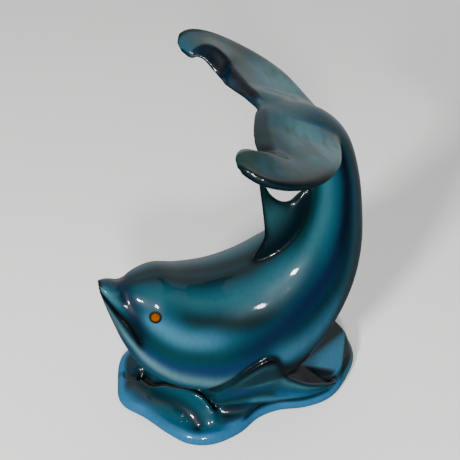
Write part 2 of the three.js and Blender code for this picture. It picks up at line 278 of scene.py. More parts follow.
def crease_depth(t, down):
    line = CREASE_START + CREASE_LEAN * down ** 2
    end = 1 - smoothstep(down, CREASE_FADE_ANGLE, CREASE_END_ANGLE)
    fade = smoothstep(down, 0, CREASE_TOP_ANGLE) * end
    return CREASE_DEPTH * fade * np.exp(-(((t - line) / CREASE_HALF_WIDTH) ** 2))


def mouth_depth(t, down, half_height):
    part = (t - MOUTH_STATIONS[0]) / (MOUTH_STATIONS[1] - MOUTH_STATIONS[0])
    line = value_along(MOUTH_ANGLES, np.clip(part, 0, 1))
    away = (down - line) * half_height / MOUTH_HALF_WIDTH
    fade = 1 - smoothstep(t, MOUTH_STATIONS[1] - MOUTH_FADE, MOUTH_STATIONS[1])
    return MOUTH_DEPTH * fade * np.exp(-(away ** 2))


def body_skin(t, angle):
    back = curve(BACK_RAIL, t)
    belly = curve(BELLY_RAIL, t)
    out = (back - belly) / 2 * signed_power(np.cos(angle), 2 / BODY_ROUNDNESS)[..., None]
    out[..., 1] -= value_along(HALF_WIDTHS, t) * signed_power(np.sin(angle), 2 / BODY_ROUNDNESS)
    half_height = np.linalg.norm(back - belly, axis=-1) / 2
    down = angle_from_back(angle)
    cut = crease_depth(t, down) + mouth_depth(t, down, half_height)
    length = np.linalg.norm(out, axis=-1)
    return (back + belly) / 2 + out * np.maximum(1 - cut / length, LEAST_SHARE)[..., None]


def eye_place(side):
    """The middle of an eye on the skin and the direction that it faces."""
    step = 0.01
    t = np.array([EYE_STATION, EYE_STATION + step, EYE_STATION])
    angle = side * np.array([EYE_ANGLE, EYE_ANGLE, EYE_ANGLE + step])
    middle, along, around = body_skin(t, angle)
    facing = unit(np.cross(along - middle, around - middle))
    return middle, facing if facing[1] * side < 0 else -facing


LEFT = 1
RIGHT = -1
EYES = {side: eye_place(side) for side in (LEFT, RIGHT)}


# Where a place lies on the body

# Search: the nearest of the scanned sections first, then small steps along the body's length
BODY_SCAN = np.linspace(0, 1, 121)
BODY_CHUNK = 20_000
BODY_LENGTH = 420.0
BODY_WINDOW = 1.5
BODY_STEPS = 6
BODY_EASE = 0.7
END_SLACK = 2


def on_section(places, t):
    """How far places lie ahead of the body's sections at t, and their place in them as fractions."""
    back = curve(BACK_RAIL, t)
    belly = curve(BELLY_RAIL, t)
    half = (back - belly) / 2
    out = places - (back + belly) / 2
    reach = np.linalg.norm(half, axis=-1)
    ahead = (half[..., 2] * out[..., 0] - half[..., 0] * out[..., 2]) / reach
    up = (out * half).sum(-1) / reach ** 2
    aside = -out[..., 1] / value_along(HALF_WIDTHS, t)
    far = (np.abs(up) ** BODY_ROUNDNESS + np.abs(aside) ** BODY_ROUNDNESS) ** (1 / BODY_ROUNDNESS)
    return ahead, up, aside, far, reach


def on_body(places):
    """For each place: how far it is from the body's skin, t along it and the angle from its back."""
    t = np.empty(len(places))
    for first in range(0, len(places), BODY_CHUNK):
        some = places[first:first + BODY_CHUNK]
        ahead, _, _, far, _ = on_section(some[:, None, :], BODY_SCAN[None, :])
        far = np.where(np.abs(ahead) < BODY_LENGTH / len(BODY_SCAN) * BODY_WINDOW, far, np.inf)
        t[first:first + BODY_CHUNK] = BODY_SCAN[np.argmin(far, axis=1)]
    for _ in range(BODY_STEPS):
        ahead = on_section(places, t)[0]
        t = np.clip(t + BODY_EASE * ahead / BODY_LENGTH, 0, 1)
    ahead, up, aside, far, reach = on_section(places, t)
    power = BODY_ROUNDNESS / 2
    angle = np.arctan2(signed_power(aside, power), signed_power(up, power))
    across = np.minimum(reach, value_along(HALF_WIDTHS, t))
    away = np.abs(far - 1) * across + np.maximum(np.abs(ahead) - END_SLACK, 0)
    return away, t, np.abs(angle)


# Fin skins

def dorsal_skin(t, angle):
    front = curve(in_symmetry_plane(DORSAL_FRONT), t)
    rear = curve(in_symmetry_plane(DORSAL_REAR), t)
    places = (front + rear) / 2 + (front - rear) / 2 * np.cos(angle)[..., None]
    places[..., 1] += value_along(DORSAL_HALF_THICKNESS, t) * np.sin(angle)
    return places


def blade_face(front, rear, t):
    """The direction square to a blade's chord and to its run from root to tip."""
    step = 1e-3
    low = np.clip(t - step, 0, 1)
    high = np.clip(t + step, 0, 1)
    run = unit(curve(front, high) - curve(front, low)) + unit(curve(rear, high) - curve(rear, low))
    return unit(np.cross(curve(front, t) - curve(rear, t), run))


def fluke_section(chord, half, bevel, ridge, fairing):
    """A fluke's section from the rear edge over the bevel to its ridge, down the face, swollen by
    the fairing, to the front rim and back along the underside, as distances from the rear edge
    and heights above the chord."""
    face = chord - bevel
    return [
        [0, 0],
        [0.5 * bevel, 0.5 * ridge + 0.1 * fairing],
        [0.92 * bevel, 0.97 * ridge + 0.3 * fairing],
        [bevel + 0.06 * face, ridge + 0.45 * fairing],
        [bevel + 0.3 * face, 0.75 * ridge + 0.9 * fairing],
        [bevel + 0.55 * face, 0.5 * ridge + fairing],
        [bevel + 0.8 * face, 0.35 * ridge + 0.8 * fairing],
        [bevel + 0.94 * face, 0.3 * half + 0.3 * fairing],
        [chord, -0.1 * half],
        [0.96 * chord, -0.7 * half],
        [0.75 * chord, -half],
        [0.5 * chord, -0.9 * half],
        [0.25 * chord, -0.6 * half],
        [0.05 * chord, -0.3 * half],
    ]


def fluke_skin(side, t, angle):
    rear = curve(FLUKE_REAR[side], t)
    across = curve(FLUKE_FRONT[side], t) - rear
    chords = np.linalg.norm(across, axis=-1)
    height, reach = FLUKE_FAIRING
    sizes = np.column_stack([
        chords, value_along(FLUKE_HALF_THICKNESS, t), value_along(FLUKE_BEVELS[side], t),
        value_along(FLUKE_RIDGES[side], t), height * (1 - smoothstep(np.abs(rear[..., 1]), 0, reach)),
    ])
    up = blade_face(FLUKE_FRONT[side], FLUKE_REAR[side], t)
    up = up * np.sign(up[..., 2:])
    places = np.empty((len(t), 3))
    for station in np.unique(t):
        here = t == station
        section = fluke_section(*sizes[np.argmax(here)])
        flat = curve(section, angle[here] / (2 * np.pi), closed=True)
        places[here] = rear[here] + unit(across[here]) * flat[:, :1] + up[here] * flat[:, 1:]
    return places


def left_fluke_skin(t, angle):
    return fluke_skin("left", t, angle)


def right_fluke_skin(t, angle):
    return fluke_skin("right", t, angle) * MIRROR


def left_flipper_skin(t, angle):
    top = curve(FLIPPER_TOP, t)
    foot = curve(FLIPPER_FOOT, t)
    across = (top - foot) / 2 * signed_power(np.cos(angle), 2 / FLIPPER_SQUARENESS)[..., None]
    inward = signed_power(np.sin(angle), 2 / FLIPPER_SQUARENESS)
    inward = inward + FLIPPER_DISH * np.minimum(np.sin(angle), 0) ** 4
    thick = value_along(FLIPPER_HALF_THICKNESS, t) * inward
    return (top + foot) / 2 + across + blade_face(FLIPPER_TOP, FLIPPER_FOOT, t) * thick[..., None]


def right_flipper_skin(t, angle):
    return left_flipper_skin(t, angle) * MIRROR


# Wave base skin

def mound_share(x, y):
    return np.hypot((x - BASE_CENTRE[0]) / MOUND_REACH[0], (y - BASE_CENTRE[1]) / MOUND_REACH[1])


def mound(x, y, inner, outer, rise):
    return rise * (1 - smoothstep(mound_share(x, y), inner, outer))


def trough(x, y, path, width, depth):
    line = curve(path, np.linspace(0, 1, TROUGH_SAMPLES))
    away = np.min([np.hypot(x - px, y - py) for px, py in line], axis=0)
    return depth * np.exp(-((away / width) ** 2))


def left_of(x, y, start, end):
    dx, dy = end[0] - start[0], end[1] - start[1]
    return (dx * (y - start[1]) - dy * (x - start[0])) / math.hypot(dx, dy)


def block(x, y):
    behind_front = smoothstep(left_of(x, y, BLOCK_FRONT, BLOCK_CORNER), -BLOCK_FRONT_FALL, 0)
    inside_end = smoothstep(left_of(x, y, BLOCK_CORNER, BLOCK_BACK), -BLOCK_END_FALL, 0)
    return BLOCK_RISE * behind_front * inside_end * smoothstep(x, *BLOCK_START)


def flipper_edges(x):
    """The left flipper's foot and top where its foot passes x."""
    t = np.linspace(0, 1, FOOT_SAMPLES)
    here = np.interp(x, curve(FLIPPER_FOOT, t)[:, 0], t)
    return curve(FLIPPER_FOOT, here), curve(FLIPPER_TOP, here)


def beyond_foot(x, y):
    foot, _ = flipper_edges(x)
    return np.abs(y) + foot[..., 1]


def bank(x, y):
    """Wood left standing between the flippers, from their feet part of the way up."""
    foot, top = flipper_edges(x)
    rise = (1 - BANK_FILL) * foot[..., 2] + BANK_FILL * top[..., 2] - WAVE_HEIGHT
    within = (1 - smoothstep(beyond_foot(x, y), *BANK_EDGE)) * (1 - smoothstep(x, *BANK_END))
    return rise * within * smoothstep(x, *BANK_START)


def carved_depth(x, y):
    return sum(trough(x, y, *shape) for shape in TROUGHS)


def wave_height(x, y):
    roll = mound(x, y, *ROLL) * (1 - ROLL_FALL * smoothstep(x, *ROLL_END))
    raised = np.max([roll + mound(x, y, *CORE), block(x, y), bank(x, y)], axis=0)
    return WAVE_HEIGHT + raised + trough(x, y, *CREST) - trough(x, y, *SEAM) - carved_depth(x, y)


def base_skin(t, angle):
    """From the middle of the underside (t 0) out round the edge and in over the top (t 1)."""
    rings = BASE_EDGE_RINGS + BASE_TOP_RINGS
    ring = np.round(t * rings)
    centre = np.array([*BASE_CENTRE, 0])
    outline = curve([[x, y, 0] for x, y in BASE_OUTLINE], angle / (2 * np.pi), closed=True)
    spoke = outline - centre
    reach = np.linalg.norm(spoke, axis=-1)
    edge = curve(BASE_EDGE, np.clip((ring - 1) / (BASE_EDGE_RINGS - 1), 0, 1))
    inward = np.clip((ring - BASE_EDGE_RINGS) / BASE_TOP_RINGS, 0, 1)
    inset = edge[..., 0] + inward * (reach - edge[..., 0])
    places = centre + spoke * (1 - inset / reach)[..., None]
    on_top = ring > BASE_EDGE_RINGS
    places[..., 2] = np.where(on_top, wave_height(places[..., 0], places[..., 1]), edge[..., 1])
    places[ring == 0] = centre
    return places


# Mesh making

def closed_skin(bm, skin, rings, sides):
    """A grid rolled into a tube by skin(t, angle), with its ends closed; returns its samples."""
    corners = bmesh.ops.create_grid(bm, x_segments=rings, y_segments=sides, size=1)["verts"]
    flat = np.array([corner.co for corner in corners], float)
    t = np.round((flat[:, 0] + 1) / 2 * rings) / rings
    angle = (np.round((flat[:, 1] + 1) / 2 * sides) % sides) * 2 * np.pi / sides
    places = skin(t, angle)
    for corner, place in zip(corners, places * MM):
        corner.co = place
    rim = [corner for corner in corners if corner.is_boundary]
    bmesh.ops.remove_doubles(bm, verts=rim, dist=1e-7)
    ends = [edge for edge in bm.edges if edge.is_boundary]
    bmesh.ops.holes_fill(bm, edges=ends, sides=0)
    return places, t, angle


def object_from(bm, name):
    mesh = bpy.data.meshes.new(name)
    bm.to_mesh(mesh)
    bm.free()
    made = bpy.data.objects.new(name, mesh)
    bpy.context.scene.collection.objects.link(made)
    return made


def apply_modifiers(made):
    shown = bpy.context.evaluated_depsgraph_get()
    finished = bpy.data.meshes.new_from_object(made.evaluated_get(shown))
    old = made.data
    made.modifiers.clear()
    made.data = finished
    bpy.data.meshes.remove(old)


def places_of(mesh):
    flat = np.empty(len(mesh.vertices) * 3)
    mesh.vertices.foreach_get("co", flat)
    return flat.reshape(-1, 3) / MM


# Where a place lies on the other parts

FAR = 30.0
FIN_SEARCH = 5.0
EDGE_SLACK = 2
EDGE_RISE = 1
UNDERSIDE_HEIGHT = 0.5
SLOPE_SHARE = 0.7


def on_wave(places):
    """For each place: how far it is from the wave's skin, its bearing and its distance from the edge."""
    outline = curve(BASE_OUTLINE, np.linspace(0, 1, BASE_SIDES, endpoint=False), closed=True)
    spokes = outline - BASE_CENTRE
    x, y, z = places.T
    bearing = np.arctan2(y - BASE_CENTRE[1], x - BASE_CENTRE[0])
    reach = np.interp(bearing, *sorted_by_bearing(spokes), period=2 * np.pi)
    inset = reach - np.hypot(x - BASE_CENTRE[0], y - BASE_CENTRE[1])
    edge_inset, edge_height = BASE_EDGE[-1]
    on_edge = (inset < edge_inset + EDGE_SLACK) & (z < edge_height + EDGE_RISE)
    level = SLOPE_SHARE * np.abs(z - wave_height(x, y))
    away = np.where(on_edge | (z < UNDERSIDE_HEIGHT), 0, level)
    return np.where(inset < -EDGE_SLACK, FAR, away), bearing, inset


def sorted_by_bearing(spokes):
    bearings = np.arctan2(spokes[:, 1], spokes[:, 0])
    order = np.argsort(bearings)
    return bearings[order], np.hypot(*spokes[order].T)


def on_fin(fin, places):
    """For each place: how far it is from a fin's skin, and t along and the angle round the fin."""
    tree, samples, t, angle = fin
    low = samples.min(0) - FIN_SEARCH
    high = samples.max(0) + FIN_SEARCH
    away = np.full(len(places), FAR)
    number = np.zeros(len(places), int)
    close = np.flatnonzero(((places > low) & (places < high)).all(1))
    finder = KDTree(len(samples))
    for count, sample in enumerate(samples):
        finder.insert(sample, count)
    finder.balance()
    for place in close:
        spot, _, _, distance = tree.find_nearest(places[place] * MM, FIN_SEARCH * MM)
        if spot is not None:
            away[place] = distance / MM
            number[place] = finder.find(spot / MM)[1]
    return away, t[number], angle[number]


def on_parts(fins, places):
    """Each part's distance and two coordinates at every place, from the nearer one of a pair."""
    found = {"body": on_body(places), "wave": on_wave(places)}
    for part, fin in fins:
        here = on_fin(fin, places)
        if part in found:
            nearer = here[0] < found[part][0]
            here = [np.where(nearer, new, old) for new, old in zip(here, found[part])]
        found[part] = here
    return found


# Carving

FIN_SKINS = [
    ("dorsal", dorsal_skin), ("fluke", left_fluke_skin), ("fluke", right_fluke_skin),
    ("flipper", left_flipper_skin), ("flipper", right_flipper_skin),
]


def make_fin(whole, skin):
    """Adds a fin to the whole block, and returns what finds places on it."""
    single = bmesh.new()
    samples, t, angle = closed_skin(single, skin, FIN_RINGS, FIN_SIDES)
    tree = BVHTree.FromBMesh(single)
    single.free()
    closed_skin(whole, skin, FIN_RINGS, FIN_SIDES)
    return tree, samples, t, angle


def smooth_where(made, name, distances, reach, passes):
    """Rounds the skin where the distances are small, fading out over the reach."""
    strength = 1 - smoothstep(distances, 0, reach)
    group = made.vertex_groups.new(name=name)
    for number in np.flatnonzero(strength > LEAST_STRENGTH):
        group.add([int(number)], float(strength[number]), "REPLACE")
    fillet = made.modifiers.new(name, "SMOOTH")
    fillet.factor = SMOOTH_FACTOR
    fillet.iterations = passes
    fillet.vertex_group = name


def drill_socket(made, middle, facing):
    """A flat-bottomed bore for an eye, with a crisp lip."""
    bm = bmesh.new()
    turned = Vector(facing).to_track_quat("Z", "Y").to_matrix().to_4x4()
    place = Matrix.Translation(Vector(middle) * MM) @ turned
    bmesh.ops.create_cone(bm, cap_ends=True, segments=SOCKET_SIDES, radius1=SOCKET_RADIUS * MM,
                          radius2=SOCKET_RADIUS * MM, depth=2 * EYE_DEPTH * MM, matrix=place)
    drill = object_from(bm, "drill")
    bore = made.modifiers.new("socket", "BOOLEAN")
    bore.operation = "DIFFERENCE"
    bore.solver = "EXACT"
    bore.object = drill
    apply_modifiers(made)
    bpy.data.meshes.remove(drill.data)


def sharpen_lips(made):
    bm = bmesh.new()
    bm.from_mesh(made.data)
    for edge in bm.edges:
        gaps = [(edge.verts[0].co / MM - Vector(middle)).length for middle, _ in EYES.values()]
        if min(gaps) < 2 * SOCKET_RADIUS and edge.is_manifold:
            edge.smooth = edge.calc_face_angle() < SOCKET_LIP_ANGLE
    bm.to_mesh(made.data)
    bm.free()


def make_carving():
    bm = bmesh.new()
    closed_skin(bm, body_skin, BODY_RINGS, BODY_SIDES)
    closed_skin(bm, base_skin, BASE_EDGE_RINGS + BASE_TOP_RINGS, BASE_SIDES)
    fins = [(part, make_fin(bm, skin)) for part, skin in FIN_SKINS]
    bmesh.ops.recalc_face_normals(bm, faces=bm.faces)
    made = object_from(bm, "carved_dolphin")

    cast = made.modifiers.new("cast", "REMESH")
    cast.mode = "VOXEL"
    cast.voxel_size = JOIN_GRID * MM
    apply_modifiers(made)

    found = on_parts(fins, places_of(made.data))
    distances = {part: where[0] for part, where in found.items()}
    second_nearest = np.sort(list(distances.values()), axis=0)[1]
    smooth_where(made, "joints", second_nearest, FILLET_REACH, FILLET_PASSES)
    from_both = np.maximum(distances["body"], distances["fluke"])
    smooth_where(made, "tail", from_both, TAIL_REACH, TAIL_PASSES)
    thin = made.modifiers.new("thin", "DECIMATE")
    thin.ratio = min(1, MOST_TRIANGLES / (2 * len(made.data.polygons)))
    apply_modifiers(made)
    made.vertex_groups.clear()
    for middle, facing in EYES.values():
        drill_socket(made, middle, facing)
    made.data.shade_smooth()
    sharpen_lips(made)
    return made, fins


# Paint coordinates, kept on the carving's vertices

JOINT_BLUR = 1.0
FINE_PASSES = 5
FLUKE_UNDERSIDE = (0.53, 0.61)
FACET_SHADE = ((50, -5), (76, 7.5))


def store(mesh, name, values):
    layer = mesh.attributes.new(name, "FLOAT", "POINT")
    layer.data.foreach_set("value", np.asarray(values, np.float32))


def hollowness(mesh, passes):
    """How far each vertex lies below the mean of its surroundings, in millimetres."""
    places = places_of(mesh)
    ends = np.empty(len(mesh.edges) * 2, int)
    mesh.edges.foreach_get("vertices", ends)
    first, second = ends.reshape(-1, 2).T
    count = np.bincount(ends, minlength=len(places))[:, None]
    normals = np.empty(len(places) * 3)
    mesh.vertices.foreach_get("normal", normals)
    level = places.copy()
    for _ in range(passes):
        total = np.zeros_like(level)
        for axis in range(3):
            total[:, axis] += np.bincount(first, level[second, axis], len(places))
            total[:, axis] += np.bincount(second, level[first, axis], len(places))
        level = (level + total / count) / 2
    return ((level - places) * normals.reshape(-1, 3)).sum(1)


def store_paint_coordinates(made, fins):
    mesh = made.data
    places = places_of(mesh)
    found = on_parts(fins, places)
    nearness = {part: np.exp(-((where[0] / JOINT_BLUR) ** 2)) + 1e-6 for part, where in found.items()}
    total = sum(nearness.values())
    span = np.zeros(len(places))
    chord = np.zeros(len(places))
    for part, near in nearness.items():
        share = near / total
        store(mesh, part, share)
        if part not in ("body", "wave"):
            span += share * found[part][1]
            chord += share * (1 - np.cos(found[part][2])) / 2
    _, along, around = found["body"]
    store(mesh, "along", along)
    store(mesh, "around", around / np.pi)
    store(mesh, "span", span)
    store(mesh, "chord", chord)
    store(mesh, "under", smoothstep(found["fluke"][2] / (2 * np.pi), *FLUKE_UNDERSIDE))
    store(mesh, "inset", found["wave"][2])
    x, y, _ = places.T
    store(mesh, "trough", carved_depth(x, y) / TROUGHS[0][2])
    store(mesh, "mound_share", mound_share(x, y))
    store(mesh, "seam", trough(x, y, *SEAM) / SEAM[2])
    store(mesh, "shaded_facet", left_of(x, y, *FACET_SHADE))
    store(mesh, "beyond_foot", beyond_foot(x, y))
    store(mesh, "near_fin", np.minimum(found["dorsal"][0], found["flipper"][0]))
    store(mesh, "near_body", np.minimum(found["body"][0], FAR))
    eye_gaps = [np.linalg.norm(places - middle, axis=1) for middle, _ in EYES.values()]
    store(mesh, "eye_gap", np.min(eye_gaps, axis=0))
    store(mesh, "before_block", -left_of(x, y, BLOCK_FRONT, BLOCK_CORNER))
    store(mesh, "beyond_block", -left_of(x, y, BLOCK_CORNER, BLOCK_BACK))
    store(mesh, "hollow", hollowness(mesh, FINE_PASSES))


# Finishes

class Finish:
    """The node tree of one finish, with short ways to add and join its nodes."""

    def __init__(self, name):
        self.material = bpy.data.materials.new(name)
        self.material.use_nodes = True
        self.tree = self.material.node_tree
        self.shader = self.tree.nodes["Principled BSDF"]

    def put(self, socket, value):
        """Joins an output to a socket, or sets it to a colour's hex code or to a plain value."""
        if isinstance(value, bpy.types.NodeSocket):
            self.tree.links.new(value, socket)
        else:
            socket.default_value = colour(value) if isinstance(value, str) else value

    def put_all(self, values):
        for name, value in values.items():
            self.put(self.shader.inputs[name], value)

    def add(self, kind, values=(), **settings):
        node = self.tree.nodes.new(kind)
        for name, setting in settings.items():
            setattr(node, name, setting)
        for socket, value in dict(values).items():
            self.put(node.inputs[socket], value)
        return node

    def math(self, operation, *values):
        return self.add("ShaderNodeMath", enumerate(values), operation=operation).outputs[0]

    def times(self, first, *others):
        for other in others:
            first = self.math("MULTIPLY", first, other)
        return first

    def attribute(self, name):
        return self.add("ShaderNodeAttribute", attribute_name=name).outputs["Fac"]

    def place(self):
        return self.add("ShaderNodeTexCoord").outputs["Object"]

    def stretched(self, vector, scale):
        return self.add("ShaderNodeMapping", {"Vector": vector, "Scale": scale}).outputs[0]

    def noise(self, vector, scale, detail=2.0):
        values = {"Vector": vector, "Scale": scale, "Detail": detail}
        return self.add("ShaderNodeTexNoise", values).outputs["Fac"]

    def mottle(self, vector, scale, edge):
        """Soft patches, as a mask."""
        return self.between(self.noise(vector, scale), *edge)

    def wavering(self, value, scale, reach):
        """The value moved to and fro by slow noise."""
        drift = self.math("SUBTRACT", self.noise(self.place(), scale), 0.5)
        return self.math("ADD", value, self.times(drift, reach))

    def between(self, value, low, high):
        """0 below low, 1 above high, and smooth between them."""
        values = {"Value": value, "From Min": low, "From Max": high}
        return self.add("ShaderNodeMapRange", values, interpolation_type="SMOOTHSTEP").outputs[0]

    def line(self, value, points):
        """A smooth curve through the given points, as values from 0 to 1."""
        node = self.add("ShaderNodeFloatCurve", {"Value": value})
        dots = node.mapping.curves[0].points
        while len(dots) < len(points):
            dots.new(0, 0)
        for dot, point in zip(dots, points):
            dot.location = point
        node.mapping.update()
        return node.outputs[0]

    def band(self, value, centre, width):
        """A soft band: 1 where the value meets the centre, falling off over the width."""
        off = self.math("DIVIDE", self.math("SUBTRACT", value, centre), width)
        return self.math("EXPONENT", self.times(off, off, -1.0))

    def over(self, under, factor, colour):
        """The colour laid over what is under it, as thick as the factor says."""
        node = self.add("ShaderNodeMix", data_type="RGBA", clamp_factor=True)
        self.put(node.inputs["Factor"], factor)
        self.put(node.inputs[6], under)
        self.put(node.inputs[7], colour)
        return node.outputs[2]

    def layered(self, paint, layers):
        """The paint with layers over it, each a mask, its strength and a colour."""
        for mask, strength, shade in layers:
            paint = self.over(paint, self.times(mask, strength), shade)
        return paint


PAINT_DEPTH = 0.34
SCREEN_GAMMA = 2.2


def colour(code):
    """Linear colour of a six digit hex code, as deep as the lacquer makes it."""
    parts = [int(code[place:place + 2], 16) / 255 for place in (1, 3, 5)]
    return (*(PAINT_DEPTH * part ** SCREEN_GAMMA for part in parts), 1)


# Body paint: airbrushed bands, partly painted reflections and sheen, as (colour, width, middle, strength),
# the last two from nose to tail
BODY_GROUND = "#1a6078"
BODY_BANDS = [
    ("#38808f", .08,
     [(0, .16), (.14, .14), (.23, .17), (.32, .16), (.45, .15), (.6, .2), (.7, .27), (.85, .33), (1, .35)],
     [(0, .2), (.14, .25), (.2, .5), (.26, .85), (.45, .85), (.7, .9), (1, .8)]),
    ("#5a9bac", .11, [(0, .27), (1, .27)], [(0, .5), (.05, .7), (.1, .4), (.14, 0), (1, 0)]),
    ("#17363a", .05, [(0, .025), (1, .025)],
     [(0, 0), (.1, .4), (.16, .9), (.6, .9), (.75, .7), (1, .4)]),
    ("#0b3f3f", .07, [(0, .07), (.5, .07), (.6, .085), (.7, .12), (.8, .18), (1, .2)],
     [(0, 0), (.46, 0), (.58, .95), (.74, .95), (.85, .4), (1, .3)]),
    ("#032e30", .06, [(0, .27), (.22, .275), (.3, .263), (.38, .275), (.5, .28), (1, .28)],
     [(0, 0), (.2, .05), (.25, .4), (.29, .95), (.36, 1), (.46, .45), (.56, .3), (.65, 0), (1, 0)]),
    ("#58a8ce", .065, [(0, .33), (.2, .37), (.27, .38), (.33, .355), (.42, .31), (1, .31)],
     [(0, .2), (.1, .2), (.165, .25), (.205, .95), (.28, .9), (.38, 0), (1, 0)]),
    ("#08525c", .065, [(0, .46), (.1, .47), (.2, .48), (.3, .46), (.42, .39), (1, .37)],
     [(0, .8), (.12, .95), (.3, .95), (.42, .6), (.5, 0), (1, 0)]),
    ("#06404a", .06, [(0, .45), (.42, .42), (.5, .44), (.58, .49), (.7, .54), (1, .6)],
     [(0, 0), (.38, 0), (.46, .9), (.62, .95), (.72, .5), (.8, 0), (1, 0)]),
    ("#032f52", .075,
     [(0, .4), (.3, .44), (.36, .42), (.42, .37), (.5, .36), (.6, .42), (.7, .5), (.8, .57), (1, .6)],
     [(0, 0), (.3, 0), (.4, .95), (.8, 1), (.9, .5), (1, .2)]),
    ("#021a2a", .055, [(0, .5), (.62, .46), (.75, .53), (.85, .58), (1, .6)],
     [(0, 0), (.58, 0), (.68, .8), (.84, .8), (.92, 0), (1, 0)]),
    ("#003f78", .034, [(0, .6), (.15, .57), (.27, .545), (.33, .51), (.4, .45), (1, .44)],
     [(0, 0), (.14, .1), (.2, .8), (.28, .95), (.34, .9), (.42, 0), (1, 0)]),
    ("#4c8fb4", .05, [(0, .5), (.42, .49), (.48, .525), (.55, .57), (1, .6)],
     [(0, 0), (.38, 0), (.44, .8), (.5, .75), (.56, .5), (.62, 0), (1, 0)]),
    ("#7cb6c8", .045, [(0, .62), (.2, .62), (.3, .605), (.4, .56), (1, .5)],
     [(0, .8), (.3, .75), (.38, .4), (.43, 0), (1, 0)]),
    # Grey towards the belly near the tail: painted reflection.
    ("#3f5a60", .08, [(0, .65), (.5, .66), (.65, .66), (.8, .74), (1, .8)],
     [(0, 0), (.5, 0), (.6, .8), (.8, 1), (1, .8)]),
]
BODY_WAVER = (22.0, 0.05)

# Body marks, several of them painted shade: lines as points, soft bands as (middle, width), and edges as
# (where none, where full)
TAIL_END = (0.9, 0.97)
CREASE_SHADE_LINE = [(0, .122), (.2, .132), (.3, .145), (.45, .172), (1, .2)]
CREASE_SHADE_WIDTH = 0.034
CREASE_SHADE_STRENGTH = [(0, .7), (.15, 1), (.42, 1), (.5, .75), (.56, .4), (.62, 0), (1, 0)]
BELLY_SHADE_LINE = [
    (0, .46), (.4, .47), (.43, .545), (.45, .575), (.48, .61), (.52, .645), (.56, .72), (1, .9),
]
BELLY_SHADE_EDGE = (-0.03, 0.05)
BELLY_SHADE_START = (0.38, 0.43)
BELLY_SHADE_END = (0.58, 0.5)
LIP_LINE = [(0, .38), (.04, .468), (.077, .487), (.115, .489), (.152, .503), (.19, .548), (1, .7)]
LIP_END = (0.205, 0.18)
LIP_SHADE = (-0.025, 0.075)
LIP_SLIT = (0.0, 0.028)
JAW_EDGE = (0.04, 0.09)
JAW_END = (0.17, 0.1)
NOSE_TIP_SHADE = (0.02, 0.005)
FIN_ROOT_SHADE = (4.0, 0.5)
SOCKET_EDGE = (4.3, 3.5)


def body_paint(finish):
    """Bands and marks, partly painted reflection and shade, with places around the body from 0 at the back
    to 1 at the belly.
    """
    along = finish.attribute("along")
    down = finish.attribute("around")
    around = finish.wavering(down, *BODY_WAVER)
    bands = [
        (finish.band(around, finish.line(along, middle), width), finish.line(along, strength), shade)
        for shade, width, middle, strength in BODY_BANDS
    ]
    # Painted shade along the crease between beak and melon.
    crease = finish.band(along, finish.line(down, CREASE_SHADE_LINE), CREASE_SHADE_WIDTH)
    # Painted shade low on the belly behind the flipper, above the block.
    below = finish.between(finish.math("SUBTRACT", down, finish.line(along, BELLY_SHADE_LINE)), *BELLY_SHADE_EDGE)
    behind = finish.times(finish.between(along, *BELLY_SHADE_START), finish.between(along, *BELLY_SHADE_END))
    on_head = finish.between(along, *LIP_END)
    lip_gap = finish.math("SUBTRACT", down, finish.line(along, LIP_LINE))
    return finish.layered(BODY_GROUND, [
        *bands,
        # Lighter grey-teal at the tail's end, partly painted sheen.
        (finish.between(along, *TAIL_END), 1, "#6b9299"),
        (crease, finish.line(down, CREASE_SHADE_STRENGTH), "#032c46"),
        (below, behind, "#16272c"),
        (finish.band(lip_gap, *LIP_SHADE), on_head, "#05272c"),
        (finish.between(lip_gap, *JAW_EDGE), finish.between(along, *JAW_END), "#577c8a"),
        (finish.band(lip_gap, *LIP_SLIT), on_head, "#020b10"),
        # Painted shade at the tip of the beak.
        (finish.between(along, *NOSE_TIP_SHADE), 1, "#051a20"),
        # Painted shade on the body where the dorsal fin and flippers meet it.
        (finish.between(finish.attribute("near_fin"), *FIN_ROOT_SHADE), 0.85, "#041a22"),
        (finish.between(finish.attribute("eye_gap"), *SOCKET_EDGE), 1, "#1b2c22"),
    ])


# Dorsal fin paint: the chord runs from 0 at its front edge to 1 at its rear edge
DORSAL_ROOT_SHADE = (22.0, 3.0)
DORSAL_TIP = (0.6, 0.85)
DORSAL_FRONT_BAND = (0.0, 0.12)
DORSAL_REAR_BAND = (1.0, 0.2)


def dorsal_paint(finish):
    chord = finish.attribute("chord")
    return finish.layered("#2c626c", [
        # Painted shade at the fin's root, towards the body.
        (finish.between(finish.attribute("near_body"), *DORSAL_ROOT_SHADE), 1, "#03222c"),
        (finish.between(finish.attribute("span"), *DORSAL_TIP), 1, "#072f30"),
        (finish.band(chord, *DORSAL_FRONT_BAND), 1, "#041c24"),
        (finish.band(chord, *DORSAL_REAR_BAND), 1, "#062a30"),
    ])


# Fluke paint: patches as (scale, edge), and the chord from 0 at the rear edge to 1 at the front rim
OLIVE_STRETCH = (1, 0.45, 1)
OLIVE_PATCHES = (105.0, (0.45, 0.68))
BLUE_STRETCH = (0.8, 0.6, 1.2)
BLUE_PATCHES = (85.0, (0.5, 0.72))
NAVY_SHADE_PATCHES = (60.0, (0.42, 0.6))
FLUKE_HIGHLIGHT_SPAN = (0.22, 0.18)
FLUKE_HIGHLIGHT_CHORD = (0.4, 0.75)
FLUKE_MIDDLE = (0.35, 0.55)
FLUKE_OUTER = (0.55, 0.8)
FLUKE_SHADE_SPAN = (0.4, 0.15)
FLUKE_SHADE_CHORD = (0.75, 0.5)
FLUKE_BEVEL_SHADE_EDGE = (0.42, 0.14)
FAR_SIDE = (-0.002, 0.004)
FAR_TIP = (0.7, 0.9)
FAR_BEVEL_SHADE_LINE = [(0, .3), (.72, .3), (.82, .22), (.9, .2), (1, .2)]
FAR_BEVEL_SHADE_EDGE = (-0.03, 0.05)
FLUKE_RIM_SHADE = (1.0, 0.05)
FLUKE_RIM_START = (0.35, 0.5)


